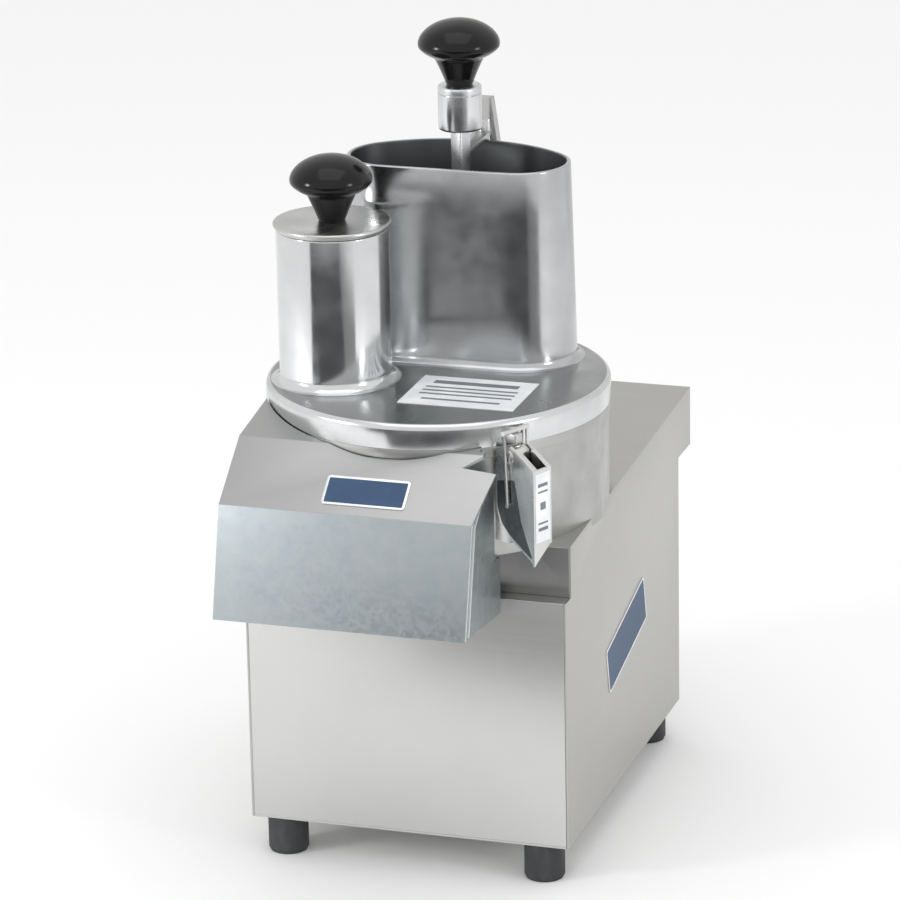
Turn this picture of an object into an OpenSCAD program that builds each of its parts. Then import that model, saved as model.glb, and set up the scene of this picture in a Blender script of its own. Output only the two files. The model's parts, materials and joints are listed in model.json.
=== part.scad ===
// Countertop continuous-feed vegetable cutter with two feed hoppers.
// Millimetres, +Z up, front of the machine faces -Y.
// The work origin is the middle of the base box at its underside;
// place() moves everything so the origin is the middle of the footprint, on the table.

/* [Base box] */
// Width of the base box
body_w = 220; // [200:1:240]
// Depth of the base box
body_d = 280; // [250:1:320]
// Height of the deck at its front edge
deck_front_z = 206; // [190:1:220]
// Height of the deck at its rear edge
deck_rear_z = 222; // [200:1:240]
// Overhang of the rear lip
rear_lip = 32; // [10:1:45]
// Height of the rear lip
lip_h = 42; // [25:1:55]
// Height of the lower front panel
panel_h = 171; // [150:1:185]
// Step back above the lower front panel
step_back = 12.5; // [6:0.5:20]
// Sheet thickness
sheet = 1.5; // [1:0.1:2.5]
// Height of the rubber feet
foot_h = 26; // [15:1:40]
// Radius of the rubber feet
foot_r = 13.5; // [10:0.5:20]

/* [Bowl and lid] */
// Distance of the disc axis in front of the box middle
axis_fwd = 57; // [50:1:62]
// Outer radius of the bowl wall
bowl_r = 112; // [108:0.5:115]
// Height of the bowl rim
rim_z = 277; // [270:1:284]
// Outer radius of the lid
lid_r = 113.5; // [110:0.5:116]
// Height of the lid top
lid_z = 294; // [288:1:300]
// Radius of the cutting disc
disc_r = 102.5; // [95:0.5:104]

/* [Hoppers] */
// Height of the large hopper rim
hopper_z = 427; // [380:1:450]
// Outer arc radius of the large hopper
hopper_r = 100; // [96:0.5:102]
// End rounding radius of the large hopper
hopper_end = 33.5; // [28:0.5:38]
// Distance of the near wall behind the disc axis
near_wall = 17.7; // [14:0.1:24]
// Casting wall thickness
wall = 3; // [2.5:0.1:4]
// Outer radius of the small feed tube
tube_r = 37; // [34:0.5:40]
// Height of the small feed tube rim
tube_z = 396; // [360:1:410]

/* [Pushers] */
// Radius of the push knobs
knob_r = 27.3; // [22:0.1:30]
// Top of the handle boss
boss_z = 475; // [465:1:490]
// Radius of the guide rod
rod_r = 6; // [5:0.5:8]

/* [Discharge hood] */
// Left side of the hood
hood_l = -101; // [-105:1:-95]
// Right side of the hood
hood_r = 68; // [60:1:70]

/* [Drive] */
// Distance of the motor axis behind the disc axis
belt_c = 127; // [120:1:130]
// Running radius of the large pulley
pulley_r = 57; // [50:1:62]
// Running radius of the small pulley
pinion_r = 16; // [14:1:20]

/* [Hidden] */
$fn = 96;
hw = body_w / 2;
hd = body_d / 2;
ay = -axis_fwd;
stub_y = -hd + step_back;
lip_y = hd + rear_lip;
slope = (deck_rear_z - deck_front_z) / (lip_y - stub_y);
floor_z = 203;
inner_r = bowl_r - 6;
sx = -62.5;
sy = ay - 25;
end_c = sqrt(pow(hopper_r - hopper_end, 2) - pow(near_wall + hopper_end, 2));
wedge_a = atan(end_c / (near_wall + hopper_end));
guide_y = ay + 111.2;
latch_a = -25;
piv_a = 112;
piv_z = 273;
bail_z = 241;
hinge_a = 131.8;
hinge_r = 121.5;
hinge_z = 285;
box_d = 10;
btn_out = 8;
my = ay + belt_c;
x_min = -hw - box_d - btn_out;
x_max = lid_r;
y_min = -224;
y_max = lip_y;

function deck_z(y) = deck_front_z + (y - stub_y) * slope;

module place() {
  translate([-(x_min + x_max) / 2, -(y_min + y_max) / 2, foot_h])
    children();
}

module cyl(x, y, z0, z1, r) {
  translate([x, y, z0])
    cylinder(r = r, h = z1 - z0);
}

module box(x0, x1, y0, y1, z0, z1) {
  translate([x0, y0, z0])
    cube([x1 - x0, y1 - y0, z1 - z0]);
}

// Extrudes a profile given as [y, z] points along X.
module along_x(x0, x1, pts) {
  translate([x0, 0, 0])
    rotate([90, 0, 90])
      linear_extrude(height = x1 - x0)
        polygon(pts);
}

module latch_frame() {
  translate([0, ay, 0])
    rotate([0, 0, latch_a])
      children();
}

// Extrudes a profile given as [outward, height] points across the latch.
module across(t0, t1, pts) {
  translate([0, t1, 0])
    rotate([90, 0, 0])
      linear_extrude(height = t1 - t0)
        polygon(pts);
}

module across_pin(a, z, t0, t1, r) {
  translate([a, t1, z])
    rotate([90, 0, 0])
      cylinder(r = r, h = t1 - t0, $fn = 48);
}

module hinge_frame() {
  translate([0, ay, 0])
    rotate([0, 0, hinge_a])
      children();
}

// Thin plate with rounded corners, middle at the origin.
module rounded_plate(w, h, r, t) {
  union() {
    translate([-w / 2 + r, -h / 2, 0])
      cube([w - 2 * r, h, t]);
    translate([-w / 2, -h / 2 + r, 0])
      cube([w, h - 2 * r, t]);
    for (x = [-w / 2 + r, w / 2 - r], y = [-h / 2 + r, h / 2 - r])
      translate([x, y, 0])
        cylinder(r = r, h = t, $fn = 32);
  }
}

// Half-moon plan of the large hopper, grown by g.
module moon(g, z0, z1) {
  r = hopper_r + g;
  ne = hopper_end + g;
  yn = ay + near_wall - g;
  ye = ay + near_wall + hopper_end;
  union() {
    cyl(-end_c, ye, z0, z1, ne);
    cyl(end_c, ye, z0, z1, ne);
    box(-end_c, end_c, yn, ye, z0, z1);
    intersection() {
      cyl(0, ay, z0, z1, r);
      translate([0, ay, z0])
        linear_extrude(height = z1 - z0)
          polygon([
            [-near_wall * tan(wedge_a), near_wall],
            [near_wall * tan(wedge_a), near_wall],
            [160 * tan(wedge_a), 160],
            [-160 * tan(wedge_a), 160]
          ]);
    }
  }
}

module knob_shape() {
  rotate_extrude()
    polygon([
      [0, 0], [8.6, 0], [12.7, 9.6], [16.6, 18.4], [knob_r - 6.8, 20.2],
      [knob_r - 2.5, 22.6], [knob_r - 0.5, 25.6], [knob_r, 28.8], [knob_r - 0.6, 32.2],
      [knob_r - 3, 36], [knob_r - 7.3, 39.4], [knob_r - 13.2, 42], [7, 43.5], [0, 43.8]
    ]);
}

// ---- base box ----

module housing() {
  color([0.76, 0.76, 0.74])
  place()
  difference() {
    along_x(-hw, hw, [
      [-hd, 0], [hd, 0], [hd, deck_rear_z - lip_h], [lip_y, deck_rear_z - lip_h],
      [lip_y, deck_rear_z], [stub_y, deck_front_z], [stub_y, panel_h], [-hd, panel_h]
    ]);
    along_x(-hw + sheet, hw - sheet, [
      [-hd - 5, -5], [hd + 5, -5], [hd + 5, deck_rear_z - lip_h],
      [hd - sheet, deck_rear_z - lip_h], [hd - sheet, deck_rear_z - lip_h + sheet],
      [lip_y - sheet, deck_rear_z - lip_h + sheet],
      [lip_y - sheet, deck_z(lip_y - sheet) - sheet],
      [stub_y - 5, deck_z(stub_y - 5) - sheet], [stub_y - 5, panel_h + 5],
      [-hd - 5, panel_h + 5]
    ]);
    cyl(0, ay, floor_z, floor_z + 40, bowl_r);
    cyl(0, ay, floor_z - 10, floor_z + 1, bowl_r - 12);
    box(-hw - 5, -hw + 5, -67, -13, 126, 164);
  }
}

module front_panel() {
  color([0.82, 0.82, 0.80])
  place()
  union() {
    box(-hw + sheet, hw - sheet, -hd, -hd + sheet, sheet, panel_h);
    box(-hw + sheet, hw - sheet, -hd + sheet, stub_y + sheet, panel_h - sheet, panel_h);
  }
}

module chute_back_plate() {
  color([0.42, 0.42, 0.42])
  place()
  difference() {
    box(-hw + sheet, hw - sheet, stub_y, stub_y + sheet, panel_h, deck_z(stub_y) - sheet);
    cyl(0, ay, floor_z, floor_z + 20, bowl_r);
  }
}

module bottom_plate() {
  color([0.6, 0.6, 0.6])
  place()
  difference() {
    box(-hw + sheet, hw - sheet, -hd, hd, 0, sheet);
    for (x = [-89.5, 89.5], y = [-126.5, 126.5])
      cyl(x, y, -1, 3, 3);
    for (i = [-3 : 3])
      box(i * 20 - 4, i * 20 + 4, 40, 100, -1, 3);
  }
}

module rear_panel() {
  color([0.74, 0.74, 0.72])
  place()
  difference() {
    box(-hw + sheet, hw - sheet, hd - sheet, hd, sheet, deck_rear_z - lip_h);
    for (i = [0 : 6], s = [-1, 1])
      box(s * 42 - 30, s * 42 + 30, hd - 5, hd + 5, 86 + i * 11, 90 + i * 11);
    translate([70, hd, 36])
      rotate([90, 0, 0])
        cylinder(r = 8, h = 10, center = true);
  }
}

module rubber_feet() {
  color([0.13, 0.14, 0.14])
  place()
  for (x = [-89.5, 89.5], y = [-126.5, 126.5])
    difference() {
      union() {
        cyl(x, y, -foot_h, -foot_h + 2, foot_r - 1);
        cyl(x, y, -foot_h + 2, 0, foot_r);
      }
      cyl(x, y, -foot_h - 1, -foot_h + 10, 6.5);
      cyl(x, y, -foot_h, 1, 3);
    }
}

module foot_screws() {
  color([0.7, 0.7, 0.7])
  place()
  for (x = [-89.5, 89.5], y = [-126.5, 126.5]) {
    cyl(x, y, -foot_h + 10 - 4, -foot_h + 10, 5.5);
    cyl(x, y, -foot_h + 10, 6, 3);
  }
}

module cable_gland() {
  color([0.1, 0.1, 0.1])
  place()
  translate([70, hd, 36])
    rotate([-90, 0, 0])
      difference() {
        union() {
          translate([0, 0, -8])
            cylinder(r = 8, h = 8);
          cylinder(r = 12, h = 6, $fn = 6);
          translate([0, 0, 6])
            cylinder(r1 = 10.5, r2 = 7.5, h = 12);
          translate([0, 0, -6 - sheet])
            cylinder(r = 12, h = 6, $fn = 6);
        }
        translate([0, 0, -12])
          cylinder(r = 4, h = 40);
      }
}

module vent_screws() {
  color([0.7, 0.7, 0.7])
  place()
  for (x = [-100, 100], z = [14, 166])
    translate([x, hd, z])
      rotate([-90, 0, 0])
        cylinder(r = 3.2, h = 1.8);
}

// ---- drive inside the box ----

module mounting_plate() {
  color([0.62, 0.62, 0.62])
  place()
  difference() {
    box(-hw + sheet, hw - sheet, stub_y + sheet, 132, floor_z - 6, floor_z);
    cyl(0, ay, floor_z - 10, floor_z + 5, 30);
    cyl(0, my, floor_z - 10, floor_z + 5, 26);
  }
}

module spindle_housing() {
  color([0.6, 0.6, 0.62])
  place()
  difference() {
    union() {
      cyl(0, ay, 112, floor_z, 30);
      cyl(0, ay, floor_z - 14, floor_z - 6, 44);
    }
    cyl(0, ay, 100, floor_z + 5, 16);
    cyl(0, ay, 111, 126, 20);
    cyl(0, ay, floor_z - 14, floor_z + 5, 20);
  }
}

module bearing_at(z) {
  difference() {
    cyl(0, ay, z, z + 12, 20);
    cyl(0, ay, z - 1, z + 13, 10.05);
  }
}

module upper_bearing() {
  color([0.75, 0.75, 0.77])
  place()
  bearing_at(floor_z - 13);
}

module lower_bearing() {
  color([0.75, 0.75, 0.77])
  place()
  bearing_at(113);
}

module motor_body() {
  color([0.3, 0.33, 0.36])
  place()
  difference() {
    union() {
      cyl(0, my, 72, 186, 56);
      cyl(0, my, 66, 72, 48);
      for (i = [0 : 11])
        translate([0, my, 84])
          rotate([0, 0, i * 30])
            translate([54, -1.5, 0])
              cube([5, 3, 90]);
    }
    cyl(0, my, 60, 190, 8.05);
  }
}

module motor_bracket() {
  color([0.55, 0.55, 0.55])
  place()
  difference() {
    union() {
      box(-75, 75, my - 50, my + 50, 186, 192);
      for (x = [-70, 66])
        box(x, x + 4, my - 40, my + 40, 192, floor_z - 6);
    }
    cyl(0, my, 180, 195, 20);
  }
}

module motor_shaft() {
  color([0.7, 0.7, 0.7])
  place()
  union() {
    cyl(0, my, 24, 188, 8);
  }
}

module pulley_body(x, y, r, bore) {
  difference() {
    union() {
      cyl(x, y, 28, 31, r + 4);
      cyl(x, y, 31, 47, r);
      cyl(x, y, 47, 50, r + 4);
    }
    cyl(x, y, 20, 60, bore);
  }
}

module motor_pulley() {
  color([0.66, 0.66, 0.68])
  place()
  pulley_body(0, my, pinion_r, 8);
}

module driven_pulley() {
  color([0.66, 0.66, 0.68])
  place()
  difference() {
    pulley_body(0, ay, pulley_r, 10);
    for (i = [0 : 4])
      rotate_about(i * 72)
        cyl(36, ay, 20, 60, 11);
  }
}

module rotate_about(a) {
  translate([0, ay, 0])
    rotate([0, 0, a])
      translate([0, -ay, 0])
        children();
}

// Outline of a loop round both pulleys, big radius a and small radius b.
function loop_pts(a, b, tilt) = concat(
  [for (i = [0 : 36]) let (q = 180 - tilt + i * (180 + 2 * tilt) / 36) [a * cos(q), ay + a * sin(q)]],
  [for (i = [0 : 24]) let (q = tilt + i * (180 - 2 * tilt) / 24) [b * cos(q), my + b * sin(q)]]
);

module drive_belt() {
  t = 4;
  ri = pulley_r + 0.15;
  rp = pinion_r + 0.15;
  tilt = asin((ri - rp) / belt_c);
  color([0.08, 0.08, 0.08])
  place()
  difference() {
    translate([0, 0, 33])
      linear_extrude(height = 12)
        polygon(loop_pts(ri + t, rp + t, tilt));
    translate([0, 0, 30])
      linear_extrude(height = 18)
        polygon(loop_pts(ri, rp, tilt));
  }
}

module capacitor() {
  color([0.2, 0.2, 0.22])
  place()
  union() {
    cyl(-88, 30, 60, 135, 17);
    box(-hw + sheet, -90, 20, 40, 90, 100);
  }
}

module safety_switch() {
  color([0.12, 0.12, 0.12])
  place()
  box(-100, -80, 62, 84, floor_z - 24, floor_z - 6);
}

// ---- bowl ----

module disc_bowl() {
  color([0.78, 0.78, 0.79])
  place()
  difference() {
    union() {
      cyl(0, ay, floor_z, rim_z, bowl_r);
      cyl(0, ay, rim_z - 7, rim_z, lid_r - 0.5);
    }
    cyl(0, ay, floor_z + 6, rim_z + 5, inner_r);
    cyl(0, ay, floor_z - 5, rim_z, 22);
    box(-92, 60, -200, stub_y, floor_z - 5, 258);
  }
}

module bowl_bush() {
  color([0.6, 0.6, 0.62])
  place()
  difference() {
    union() {
      cyl(0, ay, floor_z, floor_z + 6, 22);
      cyl(0, ay, floor_z + 6, floor_z + 9, 27);
    }
    cyl(0, ay, floor_z - 5, floor_z + 15, 10.3);
  }
}

module bowl_screws() {
  color([0.72, 0.72, 0.72])
  place()
  for (a = [30, 90, 150, 210, 330])
    translate([0, ay, 0])
      rotate([0, 0, a])
        translate([94, 0, floor_z + 6])
          cylinder(r = 5, h = 2.4);
}

module hinge_bracket() {
  color([0.78, 0.78, 0.79])
  place()
  hinge_frame()
  difference() {
    union() {
      for (s = [-17, 9])
        translate([0, s + 8, 0])
          rotate([90, 0, 0])
            linear_extrude(height = 8)
              polygon([
                [108, 256], [118, 256], [hinge_r + 7, 278], [hinge_r + 7, hinge_z],
                [hinge_r - 7, hinge_z], [hinge_r - 7, rim_z - 1], [108, rim_z - 1]
              ]);
      for (s = [-17, 9])
        translate([hinge_r, s + 8, hinge_z])
          rotate([90, 0, 0])
            cylinder(r = 7, h = 8);
    }
    cyl(0, 0, 200, rim_z + 30, lid_r - 0.5);
    translate([hinge_r, 30, hinge_z])
      rotate([90, 0, 0])
        cylinder(r = 3, h = 60, $fn = 48);
  }
}

module hinge_pin() {
  color([0.7, 0.7, 0.7])
  place()
  hinge_frame()
  union() {
    translate([hinge_r, 17, hinge_z])
      rotate([90, 0, 0])
        cylinder(r = 3, h = 34, $fn = 48);
    for (s = [-19, 17])
      translate([hinge_r, s + 2, hinge_z])
        rotate([90, 0, 0])
          cylinder(r = 4.5, h = 2, $fn = 48);
  }
}

// ---- cutting parts on the spindle ----

module spindle() {
  color([0.72, 0.72, 0.73])
  place()
  union() {
    cyl(0, ay, 22, floor_z + 9.5, 10);
    cyl(0, ay, floor_z + 9.5, 266, 9);
  }
}

module ejector_disc() {
  color([0.86, 0.86, 0.84])
  place()
  difference() {
    union() {
      cyl(0, ay, 216, 220, 98);
      cyl(0, ay, 220, 240, 18);
      for (a = [20, 200])
        translate([0, ay, 220])
          rotate([0, 0, a])
            translate([17, -2, 0])
              cube([79, 4, 14]);
    }
    cyl(0, ay, 210, 250, 9);
  }
}

module slicing_disc() {
  color([0.8, 0.8, 0.81])
  place()
  difference() {
    union() {
      cyl(0, ay, 267, 270, disc_r);
      cyl(0, ay, 242, 267, 20);
    }
    cyl(0, ay, 240, 266, 9);
    for (a = [0, 120, 240])
      translate([0, ay, 260])
        rotate([0, 0, a])
          translate([26, -4, 0])
            cube([66, 12, 20]);
  }
}

module slicing_blades() {
  color([0.85, 0.85, 0.86])
  place()
  for (a = [0, 120, 240])
    translate([0, ay, 0])
      rotate([0, 0, a])
        translate([24, 8, 270])
          rotate([90, 0, 90])
            linear_extrude(height = 70)
              polygon([[0, 0], [11, 0], [11, 1], [4, 2.2], [-6, 2.6]]);
}

module disc_nut() {
  color([0.15, 0.15, 0.16])
  place()
  union() {
    cyl(0, ay, 270, 275, 17);
    cyl(0, ay, 275, 281, 13);
  }
}

// ---- lid ----

module lid_cover() {
  color([0.8, 0.8, 0.81])
  place()
  difference() {
    cyl(0, ay, rim_z, lid_z, lid_r);
    cyl(0, ay, rim_z - 5, lid_z - 5, lid_r - 6);
    cyl(sx, sy, rim_z - 5, lid_z + 5, tube_r);
    moon(0, rim_z - 5, lid_z + 5);
  }
}

module small_feed_tube() {
  color([0.82, 0.82, 0.83])
  place()
  difference() {
    union() {
      cyl(sx, sy, 283, tube_z, tube_r);
      cyl(sx, sy, lid_z, lid_z + 2, tube_r + 5);
      translate([sx, sy, lid_z + 2])
        cylinder(r1 = tube_r + 5, r2 = tube_r, h = 5);
    }
    cyl(sx, sy, 270, tube_z + 5, tube_r - wall);
    moon(0, 270, tube_z);
  }
}

module large_hopper() {
  color([0.8, 0.8, 0.81])
  place()
  difference() {
    union() {
      moon(0, 283, hopper_z);
      moon(4, lid_z, lid_z + 2.5);
      moon(2, lid_z + 2.5, lid_z + 6);
    }
    moon(-wall, 270, hopper_z + 5);
    cyl(sx, sy, lid_z - 1, tube_z, tube_r + 5.05);
  }
}

module guide_sleeve() {
  color([0.78, 0.78, 0.79])
  place()
  difference() {
    union() {
      cyl(0, guide_y, 282, 398, 10);
      box(-4, 4, guide_y - 14, guide_y, lid_z, 396);
    }
    cyl(0, guide_y, lid_z + 1, 410, rod_r + 0.06);
    moon(0, 270, 410);
    cyl(0, ay, 270, lid_z, lid_r);
    moon(4, lid_z - 1, lid_z + 2.5);
    moon(2, lid_z - 1, lid_z + 6);
  }
}

module lid_hinge_ear() {
  color([0.78, 0.78, 0.79])
  place()
  hinge_frame()
  difference() {
    union() {
      translate([hinge_r, 8.9, hinge_z])
        rotate([90, 0, 0])
          cylinder(r = 7, h = 17.8);
      translate([108, -8.9, hinge_z - 6])
        cube([hinge_r - 108, 17.8, 12]);
    }
    cyl(0, 0, 200, 330, lid_r);
    translate([hinge_r, 30, hinge_z])
      rotate([90, 0, 0])
        cylinder(r = 3.06, h = 60, $fn = 48);
  }
}

module latch_catch() {
  color([0.78, 0.78, 0.79])
  place()
  latch_frame()
  difference() {
    translate([95, -51, rim_z + 3])
      cube([18.5, 7, 6.9]);
    cyl(0, 0, 200, 330, lid_r);
  }
}

module lid_label() {
  color([0.9, 0.9, 0.88])
  place()
  box(-6, 72, ay - 69, ay - 9.5, lid_z, lid_z + 0.4);
}

module lid_magnet() {
  color([0.2, 0.2, 0.2])
  place()
  translate([0, ay, 0])
    rotate([0, 0, 170])
      translate([102, 0, rim_z + 6])
        cylinder(r = 4, h = 6, $fn = 48);
}

// ---- pushers ----

module small_pusher() {
  color([0.84, 0.84, 0.85])
  place()
  difference() {
    union() {
      cyl(sx, sy, tube_z + 0.5, tube_z + 4.5, 38.8);
      cyl(sx, sy, 284, tube_z + 0.5, tube_r - wall - 0.2);
    }
    cyl(sx, sy, 287, tube_z - 3, tube_r - wall - 4);
  }
}

module small_push_knob() {
  color([0.03, 0.03, 0.03])
  place()
  translate([sx, sy, tube_z + 4.5])
    knob_shape();
}

module pusher_plate() {
  color([0.84, 0.84, 0.84])
  place()
  moon(-wall - 0.5, 284, 296);
}

module pusher_bar() {
  color([0.7, 0.71, 0.73])
  place()
  translate([0, 0, 296])
    rotate([0, 0, 63])
      translate([-4.9, -4.9, 0])
        cube([9.8, 9.8, boss_z - 30 - 296]);
}

module pusher_boss() {
  color([0.8, 0.8, 0.81])
  place()
  union() {
    translate([0, 0, boss_z - 30])
      cylinder(r1 = 12.5, r2 = 14.5, h = 3);
    cyl(0, 0, boss_z - 27, boss_z - 2, 14.5);
    translate([0, 0, boss_z - 2])
      cylinder(r1 = 14.5, r2 = 12.5, h = 2);
  }
}

module pusher_arm() {
  color([0.77, 0.77, 0.78])
  place()
  difference() {
    union() {
      along_x(-5, 5, [
        [8, boss_z - 29], [8, boss_z - 15], [guide_y + 4, boss_z - 21.8],
        [guide_y + 4, boss_z - 37]
      ]);
      box(-5.5, 5.5, 6, guide_y, hopper_z + 1, hopper_z + 4);
      translate([0, guide_y + 4, 0])
        rotate([90, 0, 0])
          linear_extrude(height = 8)
            polygon([
              [-5.5, boss_z - 21.8], [5.5, boss_z - 21.8], [9.5, 424], [11, 404], [-11, 404], [-9.5, 424]
            ]);
      cyl(0, guide_y, 400, 420, 11);
    }
    cyl(0, 0, boss_z - 40, boss_z, 14.5);
    cyl(0, guide_y, 390, boss_z - 30, rod_r);
    moon(0.5, 270, hopper_z + 0.5);
  }
}

module guide_rod() {
  color([0.75, 0.75, 0.76])
  place()
  cyl(0, guide_y, lid_z + 2, boss_z - 30, rod_r);
}

module large_push_knob() {
  color([0.03, 0.03, 0.03])
  place()
  translate([0, 0, boss_z])
    knob_shape();
}

// ---- hood ----

module discharge_hood() {
  lx = hood_l;
  rx = hood_r;
  color([0.7, 0.72, 0.73])
  place()
  difference() {
    union() {
      along_x(lx, 75.5, [
        [-100, 286.5], [-164, 276], [-206, 243], [-224, 171], [-222.454, 171],
        [-204.67, 242.13], [-163.37, 274.58], [-100, 284.98]
      ]);
      box(lx, rx, -222.46, -215, 171, 172.5);
      along_x(lx, lx + 1.5, [
        [-223, 171], [-205, 242.4], [-163.5, 275], [-104, 285], [-104, 207.5],
        [stub_y, 206.1], [stub_y, 171.2], [-hd, 171.2], [-hd, 163]
      ]);
      along_x(rx - 1.5, rx, [
        [-223, 171], [-205, 242.4], [-174, 267], [-157, 262], [-157, floor_z - 1], [-hd, floor_z - 1],
        [-hd, 163]
      ]);
    }
    cyl(0, ay, 150, rim_z - 7, bowl_r);
    cyl(0, ay, rim_z - 8, 330, lid_r + 0.8);
    translate([0, 0, 150])
      linear_extrude(height = 160)
        polygon([[rx, -230], [rx, -206], [75.2, -174.5], [90, -174.5], [90, -230]]);
    translate([0, 0, 262])
      linear_extrude(height = 48)
        polygon([[75.2, -174.5], [52, -172.5], [64, -164.5], [64, -157], [90, -157], [90, -174.5]]);
    box(60, 90, -160, -90, 262, 310);
  }
}

module hood_badge() {
  color([0.2, 0.27, 0.34])
  place()
  translate([-6, -206, 243])
    rotate([38.157, 0, 0])
      translate([0, 18, 0])
        rounded_plate(56, 22, 2.5, 0.6);
}

module side_badge() {
  color([0.2, 0.27, 0.34])
  place()
  translate([hw, 3, 98.5])
    rotate([90, 0, 90])
      rotate([0, 0, 13])
        rounded_plate(96, 34, 3.5, 0.6);
}

// ---- latch ----

module latch_bracket() {
  color([0.72, 0.72, 0.73])
  place()
  latch_frame()
  difference() {
    union() {
      across(-54, -41.4, [
        [90, 214], [110, 214], [117, 228], [117, piv_z], [107, piv_z], [107, 262], [90, 262]
      ]);
      across_pin(piv_a, piv_z, -54, -41.4, 5);
    }
    cyl(0, 0, 200, 269.5, bowl_r);
    cyl(0, 0, 269, 330, lid_r + 0.6);
    across_pin(piv_a, piv_z, -70, -30, 3);
  }
}

module latch_pin() {
  color([0.78, 0.78, 0.78])
  place()
  latch_frame()
  union() {
    across_pin(piv_a, piv_z, -56.3, -39.1, 3);
    across_pin(piv_a, piv_z, -56.7, -56.2, 4.4);
    across_pin(piv_a, piv_z, -39.2, -38.7, 4.4);
  }
}

module latch_lever() {
  color([0.8, 0.8, 0.8])
  place()
  latch_frame()
  difference() {
    union() {
      across(-56.15, -54.7, [
        [101, 275.5], [114, 280.5], [133, 267.5], [133, 204],
        [129, 207.5], [113, 218], [104.5, 226], [101, 237]
      ]);
      across(-40.7, -39.25, [
        [109, 277.5], [116, 278.5], [133, 267.5], [133, 216], [122, 219], [109, 224]
      ]);
      across(-56.15, -51.8, [[133, 267.5], [120, 276.4], [119.2, 275.1], [131.5, 266.7]]);
      across(-43.2, -39.25, [[133, 267.5], [120, 276.4], [119.2, 275.1], [131.5, 266.7]]);
      difference() {
        translate([131.5, -56.15, 200])
          cube([1.5, 16.9, 67.5]);
        translate([131, -56.15, 203.5])
          rotate([atan(13.5 / 16.9), 0, 0])
            translate([-1, -20, -20])
              cube([5, 50, 20]);
      }
    }
    across_pin(piv_a, piv_z, -70, -30, 3.06);
    across_pin(piv_a + 0.5, bail_z, -70, -30, 1.56);
  }
}

module latch_bail() {
  color([0.85, 0.85, 0.85])
  place()
  latch_frame()
  union() {
    for (t = [-58.4, -37])
      translate([piv_a + 0.5, t, bail_z])
        rotate([0, -atan(2 / 48), 0])
          cylinder(r = 1.1, h = 48.04, $fn = 32);
    across_pin(piv_a - 1.5, bail_z + 48, -59.6, -35.8, 1.6);
    across_pin(piv_a + 0.5, bail_z, -58.9, -54.8, 1.5);
    across_pin(piv_a + 0.5, bail_z, -40.6, -36.5, 1.5);
  }
}

module latch_sticker() {
  color([0.92, 0.92, 0.9])
  place()
  latch_frame()
  translate([133, -54.5, 219])
    cube([0.3, 13.6, 46]);
}

// ---- controls on the left side ----

module switch_box() {
  color([0.16, 0.17, 0.18])
  place()
  difference() {
    box(-hw - box_d, -hw, -72, -8, 118, 172);
    box(-hw - box_d + 2, -hw + 1, -69, -11, 121, 169);
    for (y = [-56, -24])
      translate([-hw, y, 145])
        rotate([0, 90, 0])
          cylinder(r = 9.1, h = 40, center = true);
  }
}

module button_at(y, r) {
  translate([-hw - box_d - btn_out, y, 145])
    rotate([0, 90, 0])
      union() {
        cylinder(r = r, h = 3);
        cylinder(r = 9, h = btn_out + box_d - 1);
      }
}

module start_button() {
  color([0.1, 0.45, 0.2])
  place()
  button_at(-56, 9);
}

module stop_button() {
  color([0.65, 0.08, 0.08])
  place()
  button_at(-24, 12);
}

housing();
front_panel();
chute_back_plate();
bottom_plate();
rear_panel();
rubber_feet();
foot_screws();
cable_gland();
vent_screws();
mounting_plate();
spindle_housing();
upper_bearing();
lower_bearing();
motor_body();
motor_bracket();
motor_shaft();
motor_pulley();
driven_pulley();
drive_belt();
capacitor();
safety_switch();
disc_bowl();
bowl_bush();
bowl_screws();
hinge_bracket();
hinge_pin();
spindle();
ejector_disc();
slicing_disc();
slicing_blades();
disc_nut();
lid_cover();
small_feed_tube();
large_hopper();
guide_sleeve();
lid_hinge_ear();
latch_catch();
lid_label();
lid_magnet();
small_pusher();
small_push_knob();
pusher_plate();
pusher_bar();
pusher_boss();
pusher_arm();
guide_rod();
large_push_knob();
discharge_hood();
hood_badge();
side_badge();
latch_bracket();
latch_pin();
latch_lever();
latch_bail();
latch_sticker();
switch_box();
start_button();
stop_button();
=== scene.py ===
import bmesh
import bpy
import json
from math import atan2, cos, degrees, pi, radians, sin, sqrt
from mathutils import Matrix, Vector, geometry

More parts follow.
